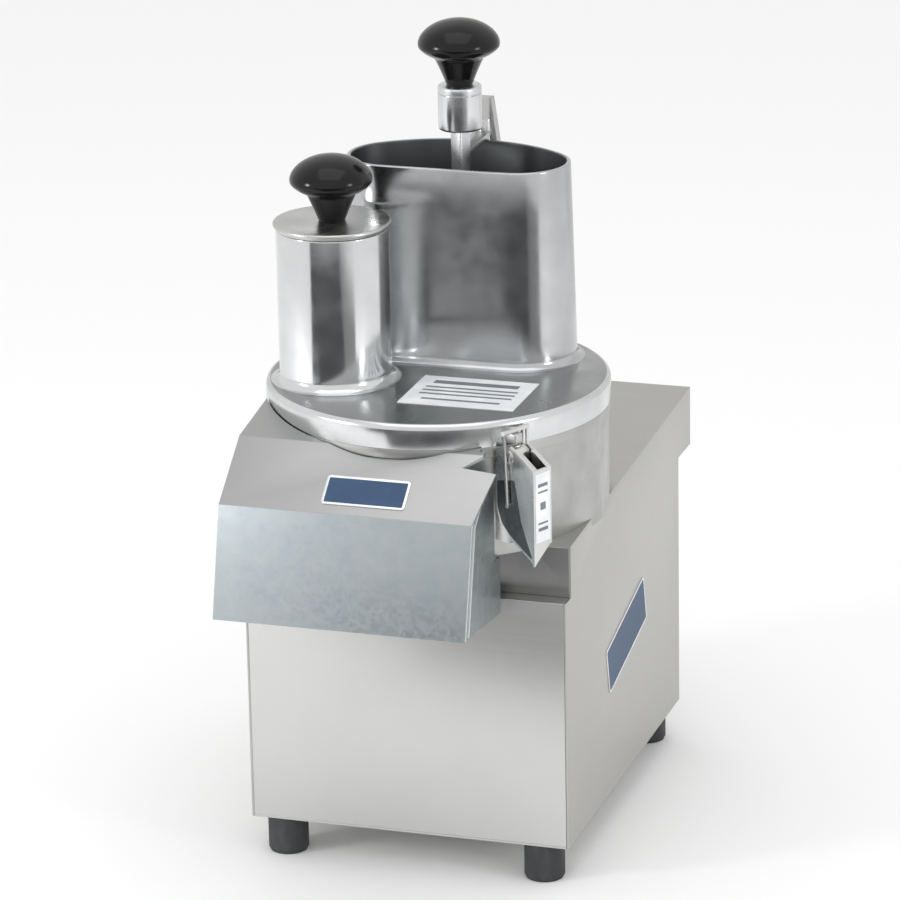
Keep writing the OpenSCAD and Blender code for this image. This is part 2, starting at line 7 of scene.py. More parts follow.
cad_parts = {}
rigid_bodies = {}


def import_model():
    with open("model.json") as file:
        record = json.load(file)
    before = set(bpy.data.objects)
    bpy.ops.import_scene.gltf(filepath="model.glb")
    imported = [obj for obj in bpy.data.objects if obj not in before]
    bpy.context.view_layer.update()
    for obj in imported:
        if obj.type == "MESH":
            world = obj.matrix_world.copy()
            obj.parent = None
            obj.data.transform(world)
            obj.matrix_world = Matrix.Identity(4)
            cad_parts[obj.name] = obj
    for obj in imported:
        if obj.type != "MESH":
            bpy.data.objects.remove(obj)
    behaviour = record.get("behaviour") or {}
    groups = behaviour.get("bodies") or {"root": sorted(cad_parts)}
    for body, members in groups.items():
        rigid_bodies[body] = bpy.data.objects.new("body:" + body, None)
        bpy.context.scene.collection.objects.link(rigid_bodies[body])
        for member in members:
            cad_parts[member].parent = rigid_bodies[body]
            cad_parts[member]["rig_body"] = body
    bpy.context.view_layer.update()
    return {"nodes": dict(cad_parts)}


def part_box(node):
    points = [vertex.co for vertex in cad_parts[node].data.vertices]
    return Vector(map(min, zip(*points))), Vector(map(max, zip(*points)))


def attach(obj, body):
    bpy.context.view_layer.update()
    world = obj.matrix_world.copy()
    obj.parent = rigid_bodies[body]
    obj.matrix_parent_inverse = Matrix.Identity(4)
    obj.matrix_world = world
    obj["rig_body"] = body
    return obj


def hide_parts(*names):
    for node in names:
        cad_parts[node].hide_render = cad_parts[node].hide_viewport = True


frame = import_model()
nodes = frame["nodes"]

# ---- sizes, in metres; places come from the frame's own boxes ----

MM = 0.001
BOWL = (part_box("disc_bowl")[0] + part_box("disc_bowl")[1]) / 2
BOWL_X = BOWL.x
BOWL_Y = (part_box("lid_cover")[0].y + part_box("lid_cover")[1].y) / 2
LID_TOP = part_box("lid_cover")[1].z
LID_R = (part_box("lid_cover")[1].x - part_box("lid_cover")[0].x) / 2
TUBE = (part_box("small_feed_tube")[0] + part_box("small_feed_tube")[1]) / 2
TUBE_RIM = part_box("small_feed_tube")[1].z
HOPPER_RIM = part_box("large_hopper")[1].z
BOSS = (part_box("pusher_boss")[0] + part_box("pusher_boss")[1]) / 2
WALL = 3 * MM
TUBE_R = 37 * MM
TUBE_FILLET = 6 * MM
HOPPER_R = 100 * MM
HOPPER_END = 33.5 * MM
HOPPER_NEAR = 17.7 * MM
HOPPER_DRAFT = 3 * MM
HOPPER_FILLET = 5 * MM
KNOB_H = 43.8 * MM
BOX_BASE = 26 * MM
BOWL_BACK = 57 * MM
LATCH_TURN = radians(-25)
CHEEK_FACE = -56.1
PIN_HEAD_FACE = -56.65
STICKER_FACE = 133.28
STICKER_MIDDLE = -47.7


# ---- mesh helpers ----

def make_piece(bm, name, body, finish, sharp=32):
    """Turns a bmesh into a smooth-shaded piece that rides on a body."""
    mesh = bpy.data.meshes.new(name)
    bm.to_mesh(mesh)
    bm.free()
    mesh.shade_smooth()
    mesh.set_sharp_from_angle(angle=radians(sharp))
    piece = bpy.data.objects.new(name, mesh)
    bpy.context.scene.collection.objects.link(piece)
    mesh.materials.append(finish)
    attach(piece, body)
    return piece


def arc(centre, radius, start, stop, steps):
    """Points [r, z] along an arc, angles in degrees."""
    turn = [radians(start + (stop - start) * i / steps) for i in range(steps + 1)]
    return [(centre[0] + radius * cos(a), centre[1] + radius * sin(a)) for a in turn]


def spin_profile(bm, profile, centre, steps=128, axis=(0, 0, 1)):
    """Spins a profile of (r, z) points a full turn about a vertical line."""
    ring = [bm.verts.new((centre[0] + r, centre[1], z)) for r, z in profile]
    edges = [bm.edges.new(pair) for pair in zip(ring, ring[1:])]
    bmesh.ops.spin(
        bm, geom=ring + edges, cent=(centre[0], centre[1], 0), axis=axis,
        angle=2 * pi, steps=steps, use_merge=True)
    bmesh.ops.remove_doubles(bm, verts=bm.verts[:], dist=1e-6)
    bmesh.ops.recalc_face_normals(bm, faces=bm.faces[:])


def spun(name, profile, centre, body, finish, sharp=32, steps=128):
    bm = bmesh.new()
    spin_profile(bm, profile, centre, steps)
    return make_piece(bm, name, body, finish, sharp)


def thicken(bm, faces, vec):
    """Pulls flat faces out into thin solids with their faces outwards."""
    out = bmesh.ops.extrude_face_region(bm, geom=faces)
    moved = [g for g in out["geom"] if isinstance(g, bmesh.types.BMVert)]
    bmesh.ops.translate(bm, verts=moved, vec=vec)
    bmesh.ops.recalc_face_normals(bm, faces=bm.faces[:])


def merged_copy(node):
    """A bmesh of a CAD node with its loose triangles joined into flat faces."""
    bm = bmesh.new()
    bm.from_mesh(nodes[node].data)
    bmesh.ops.remove_doubles(bm, verts=bm.verts[:], dist=2e-6)
    bmesh.ops.dissolve_limit(
        bm, angle_limit=radians(0.6), use_dissolve_boundaries=False,
        verts=bm.verts[:], edges=bm.edges[:], delimit=set())
    return bm


def round_edges(bm, width, low=40, high=180, segments=3, where=None):
    """Bevels the edges whose faces meet at between low and high degrees."""
    chosen = []
    for edge in bm.edges:
        if len(edge.link_faces) != 2:
            continue
        bend = degrees(edge.calc_face_angle(0))
        if low <= bend <= high and (where is None or where(edge)):
            chosen.append(edge)
    if chosen:
        bmesh.ops.bevel(
            bm, geom=chosen, offset=width, offset_type="OFFSET", affect="EDGES",
            segments=segments, profile=0.5, material=-1, clamp_overlap=True)


def softened(node, finish, width=0.4 * MM, sharp=32, also=()):
    """Replaces a CAD node by the same shape with its edges broken."""
    bm = merged_copy(node)
    for wide, low, high, where in also:
        round_edges(bm, wide, low, high, 5, where)
    if width:
        round_edges(bm, width)
    piece = make_piece(bm, node + "_finished", nodes[node]["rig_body"], finish, sharp)
    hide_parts(node)
    return piece


# ---- material helpers ----

def new_finish(name, colour, metal, rough):
    """A material with its shader's plain values set; returns it with its tree and shader."""
    material = bpy.data.materials.new(name)
    material.use_nodes = True
    tree = material.node_tree
    shader = tree.nodes["Principled BSDF"]
    shader.inputs["Base Color"].default_value = (*colour, 1)
    shader.inputs["Metallic"].default_value = metal
    shader.inputs["Roughness"].default_value = rough
    return material, tree, shader


def pattern_space(tree, scale, turn=(0, 0, 0)):
    """Object coordinates, stretched and turned for one pattern."""
    coords = tree.nodes.new("ShaderNodeTexCoord")
    mapping = tree.nodes.new("ShaderNodeMapping")
    mapping.inputs["Scale"].default_value = scale
    mapping.inputs["Rotation"].default_value = turn
    tree.links.new(coords.outputs["Object"], mapping.inputs["Vector"])
    return mapping.outputs["Vector"]


def cloudy(tree, scale, stretch=(1, 1, 1), detail=3, turn=(0, 0, 0)):
    """Noise from 0 to 1, scale in waves a metre."""
    noise = tree.nodes.new("ShaderNodeTexNoise")
    noise.inputs["Scale"].default_value = scale
    noise.inputs["Detail"].default_value = detail
    tree.links.new(pattern_space(tree, stretch, turn), noise.inputs["Vector"])
    return noise.outputs["Fac"]


def spangle(tree, scale):
    """Grey cells of zinc crystals, each with its own value."""
    cells = tree.nodes.new("ShaderNodeTexVoronoi")
    cells.inputs["Scale"].default_value = scale
    tree.links.new(pattern_space(tree, (1, 1, 1)), cells.inputs["Vector"])
    grey = tree.nodes.new("ShaderNodeSeparateColor")
    tree.links.new(cells.outputs["Color"], grey.inputs["Color"])
    return grey.outputs["Red"]


def between(tree, value, low, high, out_low, out_high):
    """Maps a value from low..high to out_low..out_high."""
    span = tree.nodes.new("ShaderNodeMapRange")
    span.inputs["From Min"].default_value = low
    span.inputs["From Max"].default_value = high
    span.inputs["To Min"].default_value = out_low
    span.inputs["To Max"].default_value = out_high
    tree.links.new(value, span.inputs["Value"])
    return span.outputs["Result"]


def two_tone(tree, factor, first, second):
    """Blends from the first colour to the second."""
    mix = tree.nodes.new("ShaderNodeMix")
    mix.data_type = "RGBA"
    mix.inputs["A"].default_value = (*first, 1)
    mix.inputs["B"].default_value = (*second, 1)
    tree.links.new(factor, mix.inputs["Factor"])
    return mix.outputs["Result"]


def raised(tree, shader, heights):
    """Adds bumps; each is (height value, strength, distance in metres)."""
    before = None
    for height, strength, distance in heights:
        bump = tree.nodes.new("ShaderNodeBump")
        bump.inputs["Strength"].default_value = strength
        bump.inputs["Distance"].default_value = distance
        tree.links.new(height, bump.inputs["Height"])
        if before:
            tree.links.new(before, bump.inputs["Normal"])
        before = bump.outputs["Normal"]
    tree.links.new(before, shader.inputs["Normal"])


def brushed_steel(name, colour, rough, stretch, depth=0.03):
    """Rolled sheet with a fine straight grain and faint cloudy handling marks."""
    material, tree, shader = new_finish(name, colour, 1, rough)
    grain = cloudy(tree, 1, stretch, 2)
    clouds = cloudy(tree, 9, detail=4)
    dark = tuple(c * 0.94 for c in colour)
    tree.links.new(two_tone(tree, between(tree, clouds, 0.3, 0.7, 0, 1), dark, colour),
                   shader.inputs["Base Color"])
    tree.links.new(between(tree, grain, 0.3, 0.7, rough - 0.02, rough + 0.03),
                   shader.inputs["Roughness"])
    raised(tree, shader, [(grain, depth, 0.00002), (clouds, 0.06, 0.001)])
    return material


def polished_metal(name, colour, rough, ripple=0.12, marks=0.05):
    """Buffed metal: nearly a mirror, with soft ripples, buffing haze and hairline marks."""
    material, tree, shader = new_finish(name, colour, 1, rough)
    haze = cloudy(tree, 38, detail=5)
    lines = cloudy(tree, 1, (900, 900, 26), 2)
    dull = tuple(c * 0.88 for c in colour)
    tree.links.new(two_tone(tree, between(tree, haze, 0.35, 0.75, 0, 1), colour, dull),
                   shader.inputs["Base Color"])
    tree.links.new(between(tree, haze, 0.3, 0.75, rough * 0.7, rough * 1.6),
                   shader.inputs["Roughness"])
    waves = cloudy(tree, 30, (1, 1, 0.35), 2)
    raised(tree, shader, [(waves, ripple, 0.0012), (lines, marks, 0.00003)])
    return material


def cast_metal(name, colour, rough, pits=0.25):
    """Sand-cast or tumbled metal with a fine grainy skin."""
    material, tree, shader = new_finish(name, colour, 1, rough)
    grains = cloudy(tree, 900, detail=2)
    clouds = cloudy(tree, 30, detail=4)
    dull = tuple(c * 0.8 for c in colour)
    tree.links.new(two_tone(tree, between(tree, clouds, 0.35, 0.7, 0, 1), colour, dull),
                   shader.inputs["Base Color"])
    tree.links.new(between(tree, clouds, 0.3, 0.7, rough - 0.06, rough + 0.1),
                   shader.inputs["Roughness"])
    raised(tree, shader, [(grains, pits, 0.00008), (clouds, 0.15, 0.0006)])
    return material


def zinc_sheet(name, colour, rough):
    """Galvanised sheet: pale crystals and a bluish mottle."""
    material, tree, shader = new_finish(name, colour, 1, rough)
    cells = spangle(tree, 420)
    clouds = cloudy(tree, 90, detail=6)
    blue = (colour[0] * 0.93, colour[1] * 0.96, colour[2] * 1.0)
    light = tuple(min(1, c * 1.03) for c in colour)
    tree.links.new(two_tone(tree, between(tree, clouds, 0.3, 0.7, 0, 1), blue, light),
                   shader.inputs["Base Color"])
    tree.links.new(between(tree, cells, 0, 1, rough - 0.05, rough + 0.07),
                   shader.inputs["Roughness"])
    raised(tree, shader, [(cells, 0.04, 0.00006), (cloudy(tree, 700), 0.06, 0.00005)])
    return material


def moulded_plastic(name, colour, rough, coat=0.0, grain=0.08):
    """Moulded plastic or paint with a faint orange-peel skin and dusty wear."""
    material, tree, shader = new_finish(name, colour, 0, rough)
    shader.inputs["Coat Weight"].default_value = coat
    shader.inputs["Coat Roughness"].default_value = 0.05
    peel = cloudy(tree, 320, detail=2)
    dust = cloudy(tree, 60, detail=5)
    worn = tuple(min(1, c * 1.25 + 0.006) for c in colour)
    tree.links.new(two_tone(tree, between(tree, dust, 0.45, 0.8, 0, 1), colour, worn),
                   shader.inputs["Base Color"])
    tree.links.new(between(tree, dust, 0.3, 0.8, rough, rough + 0.08),
                   shader.inputs["Roughness"])
    raised(tree, shader, [(peel, grain, 0.0001)])
    return material


def moulded_rubber(name, colour, rough):
    """Matt rubber with a fine grain and lighter scuffs."""
    material, tree, shader = new_finish(name, colour, 0, rough)
    shader.inputs["Specular IOR Level"].default_value = 0.35
    scuffs = cloudy(tree, 120, (1, 1, 0.4), 6)
    light = tuple(c * 1.7 for c in colour)
    tree.links.new(two_tone(tree, between(tree, scuffs, 0.5, 0.8, 0, 1), colour, light),
                   shader.inputs["Base Color"])
    tree.links.new(between(tree, scuffs, 0.3, 0.8, rough + 0.05, rough - 0.1),
                   shader.inputs["Roughness"])
    raised(tree, shader, [(cloudy(tree, 1500), 0.25, 0.00008)])
    return material


# ---- materials ----

# Box steel and front panel steel are one steel in two tones. The box copy is darker, painted shade
# for the housing's shaded sides. The front panel copy is lighter, painted light for the lit front.
BOX_STEEL_SHADED = brushed_steel("box_steel_painted_shade", (0.51, 0.505, 0.485), 0.36, (16, 16, 2300))
PANEL_STEEL_LIT = brushed_steel("front_panel_steel_painted_light", (0.66, 0.665, 0.65), 0.32, (16, 16, 2300))
DECK_STEEL = brushed_steel("plain_sheet_steel", (0.60, 0.60, 0.585), 0.36, (2300, 16, 16))
# Darkened copy of the sheet steel for the chute back plate: painted shade where the plate sits in
# shadow.
BACK_PLATE_SHADE = brushed_steel("back_plate_painted_shade", (0.30, 0.30, 0.295), 0.42, (16, 16, 1800))
SCREW_STEEL = polished_metal("bright_screws", (0.68, 0.68, 0.67), 0.26)
ALLOY = polished_metal("buffed_alloy", (0.73, 0.74, 0.745), 0.13)
HOPPER_ALLOY = polished_metal("buffed_hopper", (0.53, 0.54, 0.55), 0.17, ripple=0.08)
# Near-black metal for the hopper's inner walls: painted shade inside the hollow.
HOPPER_INSIDE_SHADE = cast_metal("hopper_inside_painted_shade", (0.17, 0.18, 0.185), 0.42)
LID_ALLOY = polished_metal("buffed_lid", (0.70, 0.71, 0.715), 0.20)
# Darker copy of the lid alloy for the lid's top: painted reflection of the dark hopper wall and tube.
LID_TOP_DARK_REFLECTION = polished_metal("buffed_lid_top_painted_reflection", (0.36, 0.37, 0.37), 0.20)
CAP_ALLOY = polished_metal("turned_cap", (0.60, 0.60, 0.59), 0.27)
CAST = cast_metal("cast_alloy", (0.62, 0.625, 0.62), 0.38)
BOWL_METAL = polished_metal("bowl_alloy", (0.48, 0.485, 0.47), 0.40)
MACHINED = polished_metal("machined_alloy", (0.72, 0.73, 0.74), 0.24)
BEARING = polished_metal("bearing_steel", (0.66, 0.66, 0.67), 0.15)
DISC_STEEL = brushed_steel("disc_steel", (0.68, 0.68, 0.69), 0.22, (900, 16, 900))
HOOD_ZINC = zinc_sheet("zinc_hood", (0.435, 0.47, 0.478), 0.42)
HOOD_TOP = brushed_steel("hood_slope_steel", (0.44, 0.445, 0.44), 0.38, (16, 1900, 1900))
# Pale finish for thin strips on the hood's folded edge and hem: painted highlight.
FOLD_HIGHLIGHT = polished_metal("folded_edge_painted_highlight", (0.90, 0.905, 0.90), 0.55)
LATCH_STEEL = polished_metal("latch_steel", (0.72, 0.72, 0.71), 0.26)
# Dark latch finish: painted dark reflection for the lever's pressed recess and painted shade for the
# pin's screw slot.
LATCH_PAINTED_DARK = polished_metal("latch_painted_reflection_and_shade", (0.16, 0.165, 0.17), 0.22)
KNOB = moulded_plastic("knob_black", (0.006, 0.006, 0.006), 0.13, grain=0.02)
KNOB.node_tree.nodes["Principled BSDF"].inputs["Specular IOR Level"].default_value = 0.28
BLACK = moulded_plastic("black_plastic", (0.03, 0.03, 0.032), 0.42)
FOOT = moulded_rubber("foot_rubber", (0.040, 0.043, 0.045), 0.62)
BELT = moulded_rubber("belt_rubber", (0.02, 0.02, 0.02), 0.7)
MOTOR = moulded_plastic("motor_paint", (0.06, 0.07, 0.08), 0.4, grain=0.3)
EJECTOR = moulded_plastic("ejector_plastic", (0.75, 0.74, 0.70), 0.38)
LABEL = moulded_plastic("label_vinyl", (0.80, 0.82, 0.84), 0.35)
LABEL_INK = moulded_plastic("label_grey_bars", (0.16, 0.18, 0.20), 0.45)
BADGE = moulded_plastic("badge_blue", (0.020, 0.060, 0.135), 0.42)
BADGE_RIM = polished_metal("badge_rim", (0.80, 0.81, 0.82), 0.25)
GREEN = moulded_plastic("button_green", (0.02, 0.20, 0.06), 0.25, coat=0.3)
RED = moulded_plastic("button_red", (0.42, 0.015, 0.015), 0.25, coat=0.3)


# ---- base box and what is inside it ----

def soften_all(rows):
    """Breaks the edges of several CAD nodes; each row is (node, finish, width in mm)."""
    for node, finish, width in rows:
        softened(node, finish, width * MM)


def base_box():
    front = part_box("housing")[0].y
    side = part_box("housing")[1].x

    def front_corner(edge):
        upright = abs(edge.verts[0].co.z - edge.verts[1].co.z) > 100 * MM
        return upright and all(
            v.co.y < front + 4 * MM and abs(v.co.x) > side - 4 * MM for v in edge.verts)

    # The housing takes the darker steel copy (painted shade) and the front panel takes the lighter
    # copy (painted light).
    softened("housing", BOX_STEEL_SHADED, 0.6 * MM, also=[(1.4 * MM, 60, 120, front_corner)])
    soften_all([
        # The chute back plate takes the darkened steel, painted shade.
        ("front_panel", PANEL_STEEL_LIT, 0.3), ("chute_back_plate", BACK_PLATE_SHADE, 0.3),
        ("bottom_plate", DECK_STEEL, 0.3), ("rear_panel", DECK_STEEL, 0.3),
        ("rubber_feet", FOOT, 1.0), ("foot_screws", SCREW_STEEL, 0.4),
        ("cable_gland", BLACK, 0.5), ("vent_screws", SCREW_STEEL, 0.6)])


def drive_parts():
    soften_all([
        ("mounting_plate", DECK_STEEL, 0.3), ("spindle_housing", CAST, 1.0),
        ("upper_bearing", BEARING, 0.6), ("lower_bearing", BEARING, 0.6),
        ("motor_body", MOTOR, 1.0), ("motor_bracket", DECK_STEEL, 0.5),
        ("motor_shaft", BEARING, 0.8), ("motor_pulley", MACHINED, 0.5),
        ("driven_pulley", MACHINED, 0.5), ("drive_belt", BELT, 0.5),
        ("capacitor", BLACK, 1.0), ("safety_switch", BLACK, 0.6)])


# ---- bowl and cutting parts ----

def bowl_and_cutter():
    soften_all([
        ("disc_bowl", BOWL_METAL, 0.7), ("bowl_bush", MACHINED, 0.4),
        ("bowl_screws", SCREW_STEEL, 0.8), ("hinge_bracket", CAST, 0.8),
        ("hinge_pin", SCREW_STEEL, 0.4), ("spindle", BEARING, 0.5),
        ("ejector_disc", EJECTOR, 0.8), ("slicing_disc", DISC_STEEL, 0.5),
        ("slicing_blades", DISC_STEEL, 0.15), ("disc_nut", BLACK, 1.2)])


# ---- lid with its two hoppers ----

def lid():
    def outer_rim(edge):
        flat = all(abs(v.co.z - LID_TOP) < 1e-5 for v in edge.verts)
        far = all((v.co.xy - Vector((BOWL_X, BOWL_Y))).length > LID_R - 0.5 * MM
                  for v in edge.verts)
        return flat and far

    cover = softened("lid_cover", LID_ALLOY, 0.5 * MM, also=[(4 * MM, 60, 120, outer_rim)])
    # Upward-facing lid faces take the darker alloy copy, a painted reflection on the lid top.
    cover.data.materials.append(LID_TOP_DARK_REFLECTION)
    for face in cover.data.polygons:
        if face.normal.z > 0.95:
            face.material_index = 1
    soften_all([
        ("lid_hinge_ear", CAST, 0.8), ("latch_catch", CAST, 0.8), ("guide_sleeve", CAST, 0.8),
        ("lid_magnet", BLACK, 0.4), ("lid_label", LABEL, 0)])


def small_tube():
    """Round feed tube: a spun wall with a fillet at its foot and a rounded lip."""
    foot = arc((TUBE_R + TUBE_FILLET, LID_TOP + TUBE_FILLET), TUBE_FILLET, 270, 180, 10)
    lip = arc((TUBE_R - 0.9 * MM, TUBE_RIM - 0.9 * MM), 0.9 * MM, 0, 90, 5)
    lip_in = arc((TUBE_R - WALL + 0.9 * MM, TUBE_RIM - 0.9 * MM), 0.9 * MM, 90, 180, 5)
    under = LID_TOP - 11 * MM
    profile = [(TUBE_R - WALL, under), (TUBE_R, under), (TUBE_R, LID_TOP - 1 * MM),
               (TUBE_R + TUBE_FILLET, LID_TOP - 1 * MM)]
    profile += foot + lip + lip_in + [(TUBE_R - WALL, under)]
    tube = spun("small_feed_tube_finished", profile, TUBE, "lid", ALLOY)
    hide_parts("small_feed_tube")


def hopper_wall():
    """Closed (grow, z) outline of the hopper's wall: foot fillet, draft, lip and inside."""
    under = LID_TOP - 10 * MM
    inside = -WALL + 0.3 * MM
    rise = HOPPER_RIM - LID_TOP - HOPPER_FILLET - 1 * MM
    foot_grow = HOPPER_DRAFT + HOPPER_FILLET
    wall = [(0, under), (0, LID_TOP - 1 * MM), (foot_grow, LID_TOP - 1 * MM)]
    wall += arc((foot_grow, LID_TOP + HOPPER_FILLET), HOPPER_FILLET, 270, 180, 8)
    wall += [(HOPPER_DRAFT * (1 - t), LID_TOP + HOPPER_FILLET + rise * t) for t in (0.25, 0.5, 0.75)]
    wall += arc((-1 * MM, HOPPER_RIM - 1 * MM), 1 * MM, 0, 90, 4)
    wall += arc((-WALL + 1 * MM, HOPPER_RIM - 1 * MM), 1 * MM, 90, 180, 4)
    return wall + [(inside, LID_TOP), (inside, under)]


def is_inside_hopper(face):
    """True for wall faces that look towards the middle of the hopper."""
    middle = Vector((BOWL_X, BOWL_Y + HOPPER_NEAR + HOPPER_END, 0))
    to_middle = middle - face.calc_center_median()
    return face.normal.xy.dot(to_middle.xy) > 0.4 * to_middle.xy.length * face.normal.length


def big_hopper():
    """Half-moon hopper: its wall's outline swept round the three arcs and bridged along the front."""
    end_x = sqrt((HOPPER_R - HOPPER_END) ** 2 - (HOPPER_NEAR + HOPPER_END) ** 2)
    end_y = BOWL_Y + HOPPER_NEAR + HOPPER_END
    lean = atan2(HOPPER_NEAR + HOPPER_END, end_x)
    bm = bmesh.new()
    ring = [bm.verts.new((BOWL_X - end_x, end_y - HOPPER_END - grow, z)) for grow, z in hopper_wall()]
    first = [bm.edges.new(pair) for pair in zip(ring, ring[1:] + ring[:1])]
    turns = [((BOWL_X - end_x, end_y), pi / 2 + lean, 22), ((BOWL_X, BOWL_Y), pi - 2 * lean, 40),
             ((BOWL_X + end_x, end_y), pi / 2 + lean, 22)]
    last = first
    swept = ring + first
    for centre, angle, steps in turns:
        out = bmesh.ops.spin(
            bm, geom=swept, cent=(*centre, 0), axis=(0, 0, 1), angle=-angle, steps=steps)
        swept = out["geom_last"]
        last = [g for g in swept if isinstance(g, bmesh.types.BMEdge)]
    before = set(bm.edges)
    bmesh.ops.bridge_loops(bm, edges=first + last)
    front = [e for e in bm.edges if e not in before]
    bmesh.ops.subdivide_edges(bm, edges=front, cuts=15, use_grid_fill=True)
    bmesh.ops.recalc_face_normals(bm, faces=bm.faces[:])
    # Faces looking into the hopper get the near-black finish, painted shade inside the hollow.
    inner = [f for f in bm.faces if is_inside_hopper(f)]
    for face in inner:
        face.material_index = 1
    hopper = make_piece(bm, "large_hopper_finished", "lid", HOPPER_ALLOY, 40)
    hopper.data.materials.append(HOPPER_INSIDE_SHADE)
    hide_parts("large_hopper")


def label_bars():
    """Plain grey bars on the white lid label, one thick and four thin."""
    low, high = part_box("lid_label")
    width = high.x - low.x
    depth = high.y - low.y
    rows = [(0.80, 0.11, 0.13), (0.62, 0.045, 0.10), (0.50, 0.045, 0.10),
            (0.38, 0.045, 0.10), (0.20, 0.05, 0.16)]
    bm = bmesh.new()
    for middle, thick, inset in rows:
        size = (width * (1 - 2 * inset), depth * thick, 0.1 * MM)
        centre = (low.x + width / 2, low.y + depth * middle, high.z + 0.03 * MM)
        place = Matrix.Translation(centre) @ Matrix.Diagonal((*size, 1))
        bmesh.ops.create_cube(bm, size=1, matrix=place)
    make_piece(bm, "lid_label_bars", "lid", LABEL_INK)


# ---- pushers ----

def knob_profile():
    """(r, z) points of a mushroom knob from its foot to its crown."""
    curves = [
        [(8.6, 0), (11.0, 6.2), (13.6, 12.6), (16.6, 18.4)],
        [(16.6, 18.4), (20.5, 20.2), (24.8, 22.4), (26.8, 25.6)],
        [(26.8, 25.6), (29.0, 33.0), (17.5, 43.8), (0, 43.8)],
    ]
    points = [(0, 0)]
    for knots in curves:
        ends = [Vector((r * MM, z * MM, 0)) for r, z in knots]
        points += [(p.x, p.y) for p in geometry.interpolate_bezier(*ends, 18)[:-1]]
    return points + [(0, KNOB_H)]


def push_knob(node, body):
    low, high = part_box(node)
    centre = (low + high) / 2
    profile = [(r, low.z + z) for r, z in knob_profile()]
    knob = spun(node + "_finished", profile, centre, body, KNOB, 50, 96)
    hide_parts(node)


def round_pusher():
    """Cap with a rolled edge and a hollow stem that fills the small tube."""
    low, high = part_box("small_pusher")
    cap_r = (high.x - low.x) / 2
    stem_r = TUBE_R - WALL - 0.2 * MM
    seat = TUBE_RIM + 0.5 * MM
    edge = arc((cap_r - 1.6 * MM, high.z - 1.6 * MM), 1.6 * MM, -40, 90, 8)
    profile = [(0, high.z - 6 * MM), (stem_r - 4 * MM, high.z - 6 * MM),
               (stem_r - 4 * MM, low.z), (stem_r - 0.6 * MM, low.z), (stem_r, low.z + 0.6 * MM),
               (stem_r, seat), (cap_r - 1.2 * MM, seat)]
    profile += edge + [(cap_r * 0.93, high.z - 0.25 * MM), (0, high.z - 0.1 * MM)]
    cap = spun("small_pusher_finished", profile, TUBE, "small_pusher", CAP_ALLOY, 28)
    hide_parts("small_pusher")


def handle_boss():
    """Round boss on top of the push bar, with a turned groove near its top."""
    low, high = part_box("pusher_boss")
    r = (high.x - low.x) / 2
    profile = [(0, low.z), (r - 2 * MM, low.z)]
    profile += arc((r - 1.6 * MM, low.z + 1.6 * MM), 1.6 * MM, -70, 0, 5)
    profile += [(r, high.z - 6.2 * MM), (r - 0.7 * MM, high.z - 5.6 * MM), (r, high.z - 5 * MM)]
    profile += arc((r - 2 * MM, high.z - 2 * MM), 2 * MM, 0, 80, 6)
    profile += [(0, high.z)]
    boss = spun("pusher_boss_finished", profile, BOSS, "large_pusher", MACHINED, 28)
    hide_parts("pusher_boss")


def large_pusher_parts():
    soften_all([
        ("pusher_plate", MACHINED, 1.0), ("pusher_bar", MACHINED, 1.2),
        ("pusher_arm", CAST, 1.0), ("guide_rod", BEARING, 0.8)])


# ---- hood, badges, latch and switches ----

def hood():
    piece = softened("discharge_hood", HOOD_ZINC, 0.25 * MM,
                     also=[(2.5 * MM, 12, 50, None)])
    piece.data.materials.append(HOOD_TOP)
    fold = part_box("hood_badge")[0].z - 6 * MM
    for face in piece.data.polygons:
        if face.center.z > fold and face.normal.z > 0.5:
            face.material_index = 1


def bent_strip(name, line, half, x, thick, body, finish):
    """Flat strip along a bent line of (y, z) points, standing proud of the face at x."""
    bm = bmesh.new()
    ends = [Vector(p) for p in line]
    slopes = [(b - a).normalized() for a, b in zip(ends, ends[1:])]
    slopes = [slopes[0]] + slopes
    ring = [(p.x - d.y * half, p.y + d.x * half) for p, d in zip(ends, slopes)]
    ring += [(p.x + d.y * half, p.y - d.x * half) for p, d in zip(ends[::-1], slopes[::-1])]
    flat = bm.faces.new([bm.verts.new((x, y, z)) for y, z in ring])
    thicken(bm, [flat], (thick, 0, 0))
    return make_piece(bm, name, body, finish)


def hood_hem():
    """Folded hem that shows as a second bright line behind the hood's right edge, plus a strip along
    the edge itself; both strips are pale as a painted highlight.
    """
    right = BOWL_X + 68 * MM
    front = BOWL_Y + BOWL_BACK
    hem = [(front - 217.4 * MM, 198.0 * MM), (front - 200.0 * MM, 265.6 * MM),
           (front - 176 * MM, 284.4 * MM)]
    edge = [(front - 222.3 * MM, 197.5 * MM), (front - 204.7 * MM, 267.6 * MM),
            (front - 178 * MM, 288.4 * MM)]
    bent_strip("discharge_hood_hem", hem, 0.75 * MM, right - 0.1 * MM, 1.1 * MM, "base",
               FOLD_HIGHLIGHT)
    bent_strip("discharge_hood_edge", edge, 0.6 * MM, right - 0.1 * MM, 0.6 * MM, "base",
               FOLD_HIGHLIGHT)


def badge(node):
    """Plain blue plate with a bright border left round its face and no lettering."""
    bm = merged_copy(node)
    round_edges(bm, 0.15 * MM, segments=2)
    way = Vector((1, -1, 1))
    out = max(bm.faces, key=lambda face: face.calc_area() * face.normal.dot(way))
    bmesh.ops.inset_region(bm, faces=[out], thickness=1.5 * MM, depth=-0.12 * MM)
    for face in bm.faces:
        face.material_index = 0 if face == out else 1
    plate = make_piece(bm, node + "_finished", "base", BADGE)
    plate.data.materials.append(BADGE_RIM)
    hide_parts(node)


